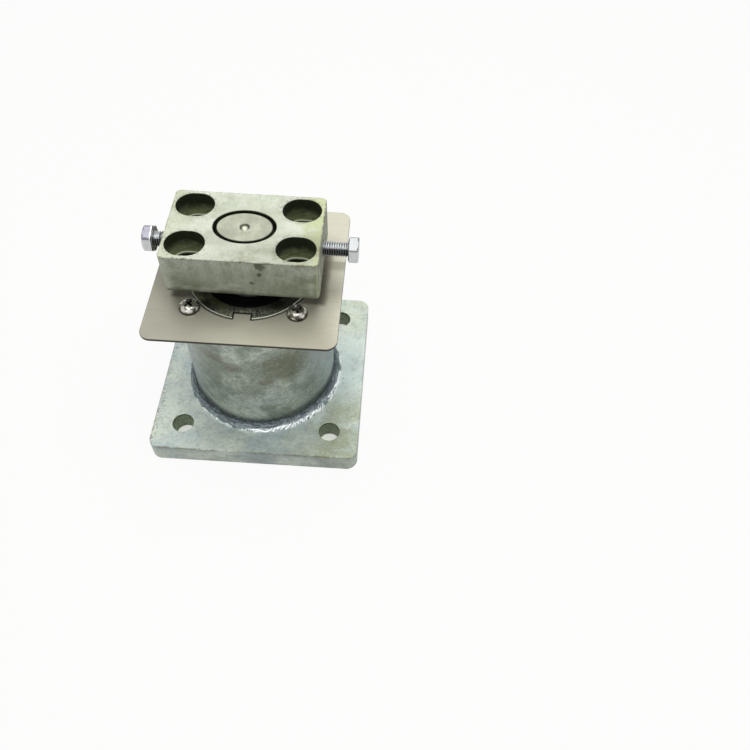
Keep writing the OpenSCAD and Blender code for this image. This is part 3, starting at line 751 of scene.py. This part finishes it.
def cover_finish():
    material, place = finish("brushed stainless sheet")
    x, y, z = axes(place)
    brushed = clouds(place, 0.35, 2, 0.6, stretch=(0.02, 1, 1))
    smear = clouds(place, 30, 3, 0.55, stretch=(0.6, 1, 1), shift=19)
    toward_front = fade(x, -40, 40) * (1 - fade(x, 44, 56) * 0.7) * fade(-y, 22, 44)
    under_block = outside(x - 1.5, y - 2, 39.5, 22) + (smear - 0.5) * 5
    # Painted shade under the block's edges.
    shade_by_block = (1 - fade(under_block, 0, 3.2)) * (0.85 - fade(x, 40, 42) * 0.2)
    tab = fade(-y, 20, 22) * (1 - fade(abs(x), tab_half + 0.1, tab_half + 0.3))
    tab_edge = fade(abs(x), tab_half - 0.45, tab_half - 0.2) + fade(y, -tab_r - 0.75, -tab_r - 0.35)
    tab_edge = least(tab_edge, 1.0) * fade(y, -opening_r, 0.4 - opening_r)
    burnt = between(square(x, y), *((opening_r + past) ** 2 for past in (0, 0.1, 0.3, 0.5)))
    straight = cover_w / 2 - cover_corner
    rim = outside(x, y, straight, straight)
    colour = layers(cover_grey, (
        (fade(smear, 0.36, 0.66), cover_pale),
        # Painted shade darker towards the left and the front, and a painted reflection paler towards the
        # right and back.
        (fade(-x - y * 0.2, 0, 44) * 0.7, cover_painted_shade),
        (toward_front * 0.6, cover_front_shade),
        (fade(x + y * 0.4, 22, 54) * 0.8, cover_painted_reflection),
        # Painted shade round the block's footprint.
        ((1 - fade(under_block, 0, 12)) * 0.22, cover_painted_shadow),
        # The painted shadow of the right bolt on the plate.
        (fade(x, 38, 44) * between(y, 2, 7, 10, 12.5) * 0.55, cover_painted_shadow),
        (shade_by_block, cover_block_shade),
        ((1 - fade(from_screw(x, y), 5.35 ** 2, 5.85 ** 2)) * 0.85, screw_shade),
        (fade(brushed, 0.4, 0.72) * 0.25, cover_lines),
        # Painted shade of the gap along the tab's edges, and the laser-burnt edge round the opening.
        (tab * tab_edge * 0.85, cover_burn_and_gap_shade),
        (burnt * (1 - tab) * 0.85, cover_burn_and_gap_shade),
        (fade(rim, cover_corner - 0.2, cover_corner - 0.08) * 0.96, cover_edge)))
    return surface(material, {
        "Base Color": colour, "Metallic": 0.5, "Roughness": fade(brushed, 0.3, 0.7) * 0.1 + 0.36,
        "Normal": bumps(brushed, 0.012)})


polished(cover, cover_finish())
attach(cover, "base")
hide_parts("cover_plate")

# ---- the cover screws ----
# Four M5 pan head screws of polished stainless with a cross recess, driven
# through the cover into the tube's rim.

head_r, head_h, head_side, shank_r = 5.3, 3.7, 1.1, 2.45
screw_tip = cover_high.z - 10.0


def screw_profile():
    """From the middle of the tip up the shank and over the domed head."""
    dome = [(0.02 + (head_r - 0.02) * math.cos(a) ** 0.62,
             cover_high.z + head_side + (head_h - head_side) * math.sin(a) ** 1.15) for a in quarter(12)]
    return [(0.3, screw_tip), (1.9, screw_tip), (shank_r, screw_tip + 0.6), (shank_r, cover_high.z + 0.05),
            (head_r - 0.35, cover_high.z + 0.02), (head_r - 0.06, cover_high.z + 0.35)] + dome


def cross_recess(x, y, turn):
    """Two crossed wings that narrow as they go down."""
    shapes = []
    for wing in (0, 90):
        levels = []
        for half_l, half_w, z in ((0.8, 0.3, -2.3), (2.6, 0.55, -0.3), (3.3, 0.68, 0.4)):
            corners = [(half_l, half_w), (-half_l, half_w), (-half_l, -half_w), (half_l, -half_w)]
            levels.append((moved(spun(corners, turn + wing), x, y), cover_high.z + head_h + z))
        shapes.append(stacked(levels))
    return shapes


screw_dark_reflection, screw_pale_reflection, screw_crown_highlight = tint(70, 67, 59), tint(208, 206, 198), tint(140, 138, 128)
screw_foot_and_recess_shade = tint(26, 24, 20)


def screw_finish():
    material, place = finish("polished screw steel")
    x, y, z = axes(place)
    over = z - cover_high.z
    smear = clouds(place, 2.6, 3, 0.6)
    crown = fade(over, head_h - 1.5, head_h - 0.5)
    foot_shade = 1 - fade(over, 0.5, 1.7)
    recess = ((1 - fade(from_screw(x, y), 3.2 ** 2, 3.5 ** 2))
              * (1 - fade(over, head_h - 0.62, head_h - 0.42)))
    # Dark and pale patches are painted reflections, the crown has a painted highlight, and painted shade
    # darkens the head's skirt and the cross recess.
    colour = layers(screw_dark_reflection, (
        (fade(smear, 0.42, 0.58), screw_pale_reflection), (crown * 0.4, screw_crown_highlight),
        (most(foot_shade * 0.85, recess * 0.95), screw_foot_and_recess_shade)))
    return surface(material, {
        "Base Color": colour, "Metallic": 0.85, "Roughness": fade(smear, 0.3, 0.7) * 0.12 + 0.16,
        "Normal": bumps(smear, 0.03)})


screw_steel = screw_finish()
for side, turn, (x, y) in zip(("back_right", "back_left", "front_left", "front_right"),
                              (20, 65, 52, 18), screw_places):
    points, faces = turned(screw_profile(), 64, ring=False)
    screw = piece("screw_" + side, ([(px + x, py + y, pz) for px, py, pz in points], faces))
    cut(screw, cross_recess(x, y, turn))
    polished(screw, screw_steel, 40)
    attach(screw, "base")
    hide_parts("cover_screw_" + side)

# ---- the door block ----
# A sawn and ground steel block, zinc plated and yellow-green chromated. It is
# bored oval for the tenon, slotted for four door bolts with deep pockets for
# their heads, and tapped at both ends for the adjusting bolts.

block_l, block_w = block_high.x - block_low.x, block_high.y - block_low.y
block_corner, block_foot_ease, block_ease = 2.5, 0.9, 0.55
pocket_x, pocket_y, pocket_l, pocket_w, pocket_ease = 28.0, 14.2, 20.5, 17.5, 0.15
slot_l, slot_wide, tenon_gap, tap_r = 16.0, 13.0, 1.75, 4.05
floor_z, bolt_z = block_high.z - 13.0, (block_low.z + block_high.z) / 2
tap_l = (block_l - tenon_l) / 2


def slot_outline(length, width, steps=24):
    """A slot with round ends, along X."""
    r = width / 2
    out = []
    for end in (0, 1):
        for k in range(steps + 1):
            a = math.pi * (k / steps - 0.5 + end)
            out.append(((length / 2 - r) * (1 - 2 * end) + r * math.cos(a), r * math.sin(a)))
    return out


def pocket(x, y):
    """The pocket for a bolt's head, flared a little at its mouth."""
    levels = [(0, floor_z)]
    levels += [(grow * pocket_ease, block_high.z - down * pocket_ease)
               for grow, down in ((0, 2), (0.12, 1.2), (0.45, 0.45), (1, 0))]
    levels.append((1.2 * pocket_ease, block_high.z + 1))
    return stacked([(moved(slot_outline(pocket_l + 2 * grow, pocket_w + 2 * grow), x, y), z)
                    for grow, z in levels])


def laid(shape, s, start):
    """A shape that stands on Z, laid along X: to the right for an s of 1, to the left for -1."""
    points, faces = shape
    return [(start + s * pz, s * px, bolt_z + py) for px, py, pz in points], faces


block = piece("door_carrier", slab(
    block_l, block_w, block_corner, block_low.z, block_high.z, block_foot_ease, block_ease, 5))
cuts = []
for x in (-pocket_x, pocket_x):
    for y in (-pocket_y, pocket_y):
        cuts.append(pocket(x, y))
        cuts.append(prism(moved(slot_outline(slot_l, slot_wide), x, y), block_low.z - 1, floor_z + 1))
cuts.append(stacked([
    (oval(tenon_l + 2 * (tenon_gap + grow), tenon_w + 2 * (tenon_gap + grow)), z) for grow, z in (
        (0.3, block_low.z - 1), (0.2, block_low.z), (0, block_low.z + 0.3), (0, block_high.z - 0.5),
        (0.12, block_high.z - 0.2), (0.35, block_high.z), (0.4, block_high.z + 1))]))
tap = stacked([(circle(tap_r + grow, 48), z) for grow, z in (
    (0, 0), (0, tap_l - 1), (0.5, tap_l - 0.4), (0.6, tap_l + 1))])
cuts += [laid(tap, s, s * tenon_l / 2) for s in (-1, 1)]
cut(block, cuts)

block_pale, block_green, block_yellow = tint(230, 235, 220), tint(206, 213, 192), tint(208, 216, 171)
block_grey, pocket_wall_shade, block_smudge = tint(146, 150, 126), tint(46, 52, 35), tint(60, 63, 44)
block_wall, block_moss, block_worn = tint(183, 191, 171), tint(134, 142, 116), tint(128, 122, 98)
block_shade, block_right_shade = tint(84, 90, 66), tint(104, 106, 84)
pocket_lit, pocket_brink = tint(178, 187, 146), tint(120, 122, 98)
ledge_highlight, ledge_shade = tint(212, 219, 196), tint(112, 122, 86)
# Oil smudges on the front: how far right and how far below the top, and their half sizes.
smudge_marks = ((10.8, 2.6, 2.8, 3.0), (10.2, 8.6, 1.7, 1.5), (5.8, 15.0, 1.3, 1.0))


def block_finish():
    material, place = finish("chromated zinc on block")
    x, y, z = axes(place)
    low, high = block_low.z, block_high.z
    wide = clouds(place, 26, 5, 0.62, shift=3)
    mottle = clouds(place, 7, 6, 0.7, shift=29)
    fine = clouds(place, 1.0, 4, 0.7)
    drips = clouds(place, 4, 5, 0.66, stretch=(1, 1, 0.3), shift=83)
    scuffs = clouds(place, 7, 5, 0.62, stretch=(0.6, 1, 1), shift=44)
    pores = clouds(place, 2.4, 4, 0.72, shift=21)
    ragged = clouds(place, 1.8, 4, 0.7, shift=5)
    rings = clouds(place, 1.6, 4, 0.7, stretch=(0.3, 0.3, 1), shift=66)
    bare = fade(clouds(place, 4, 4, 0.7, shift=15), 0.44, 0.6)
    # The top's wear, with painted shade towards its front, and the edges where the plating is gone.
    front_wear_and_shade = fade(x * 0.35 - y, 6, 26) * (1 - fade(-y, 17, 21) * 0.45)
    ends = fade(abs(x), 22, 36) * (fade(x, -6, 20) * 0.75 + 0.25)
    rubbed = 1 - fade(square((x + 11) / 10, (y + 9) / 7) + (mottle - 0.5) * 3, 0.1, 1.4)
    edge_x, edge_y = abs(x) - block_l / 2, abs(y) - block_w / 2
    edge = most(edge_x, edge_y)
    near = fade(edge, -0.85, -0.45) * fade(z, high - 0.75, high - 0.35)
    # The four sides, from the burr at the top edge, with painted light high up and on the left end, to
    # painted shade at the right end and the foot.
    wall = fade(edge, -0.5, -0.1) * (1 - fade(z, high - 0.7, high - 0.3))
    down = 1 - fade(z + (wide - 0.5) * 8, low + 2, low + 13)
    foot_shade = 1 - fade(z + (mottle - 0.5) * 5, low + 0.4, low + 3.4)
    burr = fade(edge, -0.5, -0.2) * between(z, high - 1.1, high - 0.8, high - 0.6, high - 0.4)
    smudges = []
    for right, below, half_w, half_h in smudge_marks:
        away = square((x - right) / half_w, (z - (high - below)) / half_h) + (ragged - 0.5) * 3.5
        smudges.append(((1 - fade(away, 0.45, 1.15)) * wall * fade(-y, 20, 24) * 0.75, block_smudge))
    # The pockets: painted shade on their walls and below the ledge, painted light low down on the walls,
    # and a painted highlight on the ledge round each slot, with painted shade towards the walls.
    inner = (between(z, low + 0.2, low + 0.6, high - 0.5, high - 0.15)
             * (1 - fade(edge_x, -1.1, -0.6)) * (1 - fade(edge_y, -1.1, -0.6)))
    lit = ((1 - fade(z + (mottle - 0.5) * 8, floor_z + 1, floor_z + 8))
           * (fade(rings, 0.36, 0.64) * 0.4 + 0.5))
    beside = square(most(abs(abs(x) - pocket_x) - (pocket_l - pocket_w) / 2, 0.0), abs(y) - pocket_y)
    brink = ((1 - fade(beside, (pocket_w / 2 + 0.3) ** 2, (pocket_w / 2 + 2.4) ** 2))
             * fade(z, high - 0.1, high))
    ledge = inner * between(z, floor_z - 0.9, floor_z - 0.3, floor_z + 0.05, floor_z + 0.2)
    outer = fade(beside, (slot_wide / 2 + 0.5) ** 2, (slot_wide / 2 + 0.9) ** 2)
    colour = layers(block_green, (
        (fade(wide, 0.38, 0.62), block_pale),
        (fade(mottle, 0.46, 0.66) * (front_wear_and_shade * 0.4 + 0.28), block_grey),
        (ends * fade(mottle, 0.32, 0.54) * 0.95, block_yellow),
        (front_wear_and_shade * fade(wide, 0.34, 0.6) * 0.78, block_grey),
        (rubbed * 0.35, block_grey),
        (near * bare * 0.75, block_worn),
        (wall * 0.85, block_wall),
        (wall * down * (fade(-x, -8, 22) * 0.55 + 0.05), block_shade),
        # Painted light on the upper part of the sides.
        (wall * fade(z, high - 13, high - 3) * 0.36, block_pale),
        (wall * fade(abs(x + 4), 14, 30) * fade(mottle, 0.36, 0.56) * 0.5, block_moss),
        # Painted light on the left end.
        (wall * fade(-x, 33, 38) * 0.75, block_pale),
        (wall * fade(drips, 0.44, 0.62) * 0.44, block_moss),
        # Painted shade on the right end.
        (wall * fade(x, block_l / 2 - 0.5, block_l / 2 - 0.1) * 0.55, block_right_shade),
        (wall * fade(scuffs, 0.46, 0.62) * 0.36, block_pale),
        (wall * fade(pores, 0.52, 0.68) * 0.4, block_moss),
        # Painted shade along the foot of the sides.
        (wall * foot_shade * (0.75 - fade(x, -10, 20) * 0.25), block_smudge),
        (burr * bare * 0.7, block_smudge),
        *smudges,
        (fade(clouds(place, 1.5, 4, 0.7, shift=58), 0.64, 0.7) * 0.55, block_smudge),
        (fade(fine, 0.5, 0.72) * 0.32, block_grey),
        # Painted shade on the pocket walls, and painted light low down on them.
        (inner, pocket_wall_shade),
        (inner * lit, pocket_lit),
        (brink * fade(ragged, 0.46, 0.6) * 0.5, pocket_brink),
        # A painted highlight on the ledge by the slot, painted shade towards the walls.
        (ledge, mix(outer, ledge_highlight, ledge_shade)),
        # Painted shade below the ledge.
        (inner * (1 - fade(z, floor_z - 1.2, floor_z - 0.4)), pocket_wall_shade)))
    return surface(material, {
        "Base Color": colour, "Metallic": 0.12, "Specular IOR Level": 0.25,
        "Roughness": fade(wide + fine * 0.3, 0.2, 1.0) * 0.2 + 0.42,
        "Normal": bumps(wide * 0.5 + mottle * 0.3 + fine * 0.3, 0.14)})


polished(block, block_finish())
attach(block, "block")
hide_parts("door_block")

# ---- the adjusting bolts ----
# Two fully threaded M8 hexagon bolts, bright zinc plated. They push on the
# tenon from both ends, and so shift the block along it.

bolt_len, thread_pitch, thread_deep, bolt_r = 30.0, 1.25, 0.75, 4.0
flats, bolt_head_h, head_turn = 13.0, 5.4, math.radians(12)
left_under = corners_of("left_adjuster")[0].x + bolt_head_h
right_under = corners_of("right_adjuster")[1].x - bolt_head_h


def bolt_shape(turn):
    """A bolt along +Z, its head's underside at 0 and its thread below."""
    around, per_pitch = 72, 12
    points = []
    for i in range(int(bolt_len / thread_pitch * per_pitch) + 1):
        z = -bolt_len + i * thread_pitch / per_pitch
        tip = min(1.0, (z + bolt_len) / 0.9 + 0.15)
        for k in range(around):
            wave = (z / thread_pitch - k / around) % 1
            crest = min(1.0, max(0.0, 1.18 - abs(wave - 0.5) * 2.5))
            r = min(bolt_r - thread_deep * (1 - crest), bolt_r - thread_deep * (1 - tip) * 1.3)
            a = 2 * math.pi * k / around
            points.append((r * math.cos(a), r * math.sin(a), z))
    for limit, z in ((6.0, 0.0), (6.1, 0.3), (6.3, 0.45), (7.4, 0.5), (7.4, bolt_head_h - 1.0),
                     (7.0, bolt_head_h - 0.6), (6.55, bolt_head_h - 0.2), (6.2, bolt_head_h)):
        for k in range(around):
            a = 2 * math.pi * k / around
            flat = flats / 2 / math.cos((a - turn + math.pi / 6) % (math.pi / 3) - math.pi / 6)
            r = min(flat, limit, flats / math.sqrt(3) - 0.1)
            points.append((r * math.cos(a), r * math.sin(a), z))
    return points, skin(len(points) // around, around)


bolt_grey, bolt_pale, bolt_shade_black = tint(204, 207, 208), tint(216, 218, 219), tint(26, 27, 26)
right_facet_shade, left_facet_shade, bolt_heel_shade = tint(144, 146, 147), tint(130, 129, 139), tint(60, 60, 62)


def bolt_finish():
    material, place = finish("bright zinc on bolt")
    x, y, z = axes(place)
    up = z - bolt_z
    out = length(y, up)
    smear = clouds(place, 3, 4, 0.6)
    fine = clouds(place, 0.5, 3, 0.6)
    left = 1 - fade(x, -1, 1)
    beyond = most(left_under - x, x - right_under)
    head = fade(beyond, -0.1, 0.05)
    upper = fade(up, 3.8, 4.3)
    # Painted shade in the thread's roots, broken by a band of painted highlight, painted shade over its
    # lower side, and the shade where it meets the block.
    shank = (1 - fade(out, bolt_r + 0.1, bolt_r + 0.4)) * (1 - head)
    root_shade = shank * (1 - fade(out, bolt_r - thread_deep + 0.05, bolt_r - 0.08))
    turned_down = -y - up * 0.55
    highlight_band = between(turned_down, -0.5, 0.2, 0.9, 1.4)
    root_shade = root_shade * (0.75 - left * 0.45) * (1 - fade(up, 1.2, 2.8) * 0.3) * (1 - highlight_band * 0.8)
    lower_side_shade = shank * fade(turned_down, 0.8, 1.6) * (0.93 - fade(out, bolt_r - 0.3, bolt_r) * 0.25)
    neck = shank * left * between(beyond, -4.6, -4.1, -3.4, -2.9) * 0.7
    # Painted shade under the heads.
    heel = fade(out, bolt_r + 0.1, bolt_r + 0.4) * (1 - fade(beyond, 0.3, 0.7))
    colour = layers(bolt_grey, (
        (fade(smear, 0.38, 0.64), bolt_pale),
        # Painted shade on the heads' upper facets.
        ((1 - left) * head * upper, right_facet_shade),
        (left * fade(beyond, 0.9, 1.3) * upper, left_facet_shade),
        (most(most(root_shade, lower_side_shade), neck), bolt_shade_black),
        (heel * 0.8, bolt_heel_shade)))
    return surface(material, {
        "Base Color": colour, "Metallic": 0.7, "Roughness": fade(smear, 0.3, 0.7) * 0.12 + 0.2,
        "Normal": bumps(fine, 0.02)})


bright_zinc = bolt_finish()
for side, s, under_head in (("left", -1, left_under), ("right", 1, right_under)):
    bolt = piece(side + "_bolt_screw", laid(bolt_shape(-s * head_turn), s, under_head))
    polished(bolt, bright_zinc, 30)
    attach(bolt, side + "_bolt")
    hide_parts(side + "_adjuster")

# ---- the studio ----
# A pale floor and a plain light sky, one broad lamp above and behind, and a
# weak one from the front.


def shown(wire):
    """1 for rays that see the background directly or in a reflection."""
    camera, glossy, through = (wire.node("LightPath", out=name) for name in (
        "Is Camera Ray", "Is Glossy Ray", "Is Transmission Ray"))
    return least(camera + glossy + through, 1.0)


floor_half, floor_under = 3000, -0.05
floor = piece("studio_floor", ([(x * floor_half, y * floor_half, floor_under) for x, y in (
    (-1, -1), (1, -1), (1, 1), (-1, 1))], [(0, 1, 2, 3)]))
floor_paint, place = finish("studio floor")
x, y, z = axes(place)
under = 1 - fade(most(abs(x), abs(y)), base_w / 2 - 4, base_w / 2 - 2)
matt, paper, dust = (place.node("BsdfDiffuse", {}, {"Color": colour}) for colour in (
    (0.4, 0.4, 0.4, 1), (0.87, 0.91, 0.8, 1), (0.8, 0.9, 0.56, 1)))
glow = place.node("Emission", {}, {"Color": (1, 1, 1, 1), "Strength": 1.0})
ground = place.node("MixShader", {}, {0: under, 1: paper, 2: dust})
bright = place.node("MixShader", {}, {0: under * 0.42 + 0.09, 1: glow, 2: ground})
place.node("OutputMaterial", {}, {
    "Surface": place.node("MixShader", {}, {0: shown(place), 1: matt, 2: bright})})
floor.data.materials.append(floor_paint)

sky = bpy.data.worlds.new("studio")
bpy.context.scene.world = sky
wire = emptied(sky)
light, white = (wire.node("Background", {}, {"Color": (1, 1, 1, 1), "Strength": strength})
                for strength in (0.22, 1.0))
wire.node("OutputWorld", {}, {"Surface": wire.node("MixShader", {}, {0: shown(wire), 1: light, 2: white})})


def lamp(name, place, size, power):
    """A square lamp that faces the object."""
    data = bpy.data.lights.new(name, "AREA")
    data.size, data.energy = size, power
    made = bpy.data.objects.new(name, data)
    made.location = place
    made.rotation_euler = (Vector((0, 0, 0.07)) - Vector(place)).to_track_quat("-Z", "Y").to_euler()
    bpy.context.scene.collection.objects.link(made)


lamp("top_lamp", (0.12, 0.08, 1.25), 1.2, 13.0)
lamp("front_lamp", (-0.5, -1.1, 0.9), 0.8, 1.4)

right, up, forward = ((0.99817, 0.05367, 0.02781), (-0.05981, 0.81025, 0.58303),
                      (-0.00875, 0.58362, -0.81198))
view = bpy.data.cameras.new("camera")
view.lens, view.sensor_width, view.clip_start, view.clip_end = 35.842, 36.0, 0.01, 20.0
camera = bpy.data.objects.new("camera", view)
aim = Matrix((right, up, [-c for c in forward])).transposed()
camera.matrix_world = Matrix.Translation((0.07429, -0.28008, 0.40231)) @ aim.to_4x4()
bpy.context.scene.collection.objects.link(camera)
bpy.context.scene.camera = camera

bpy.context.scene.view_settings.view_transform = "Standard"
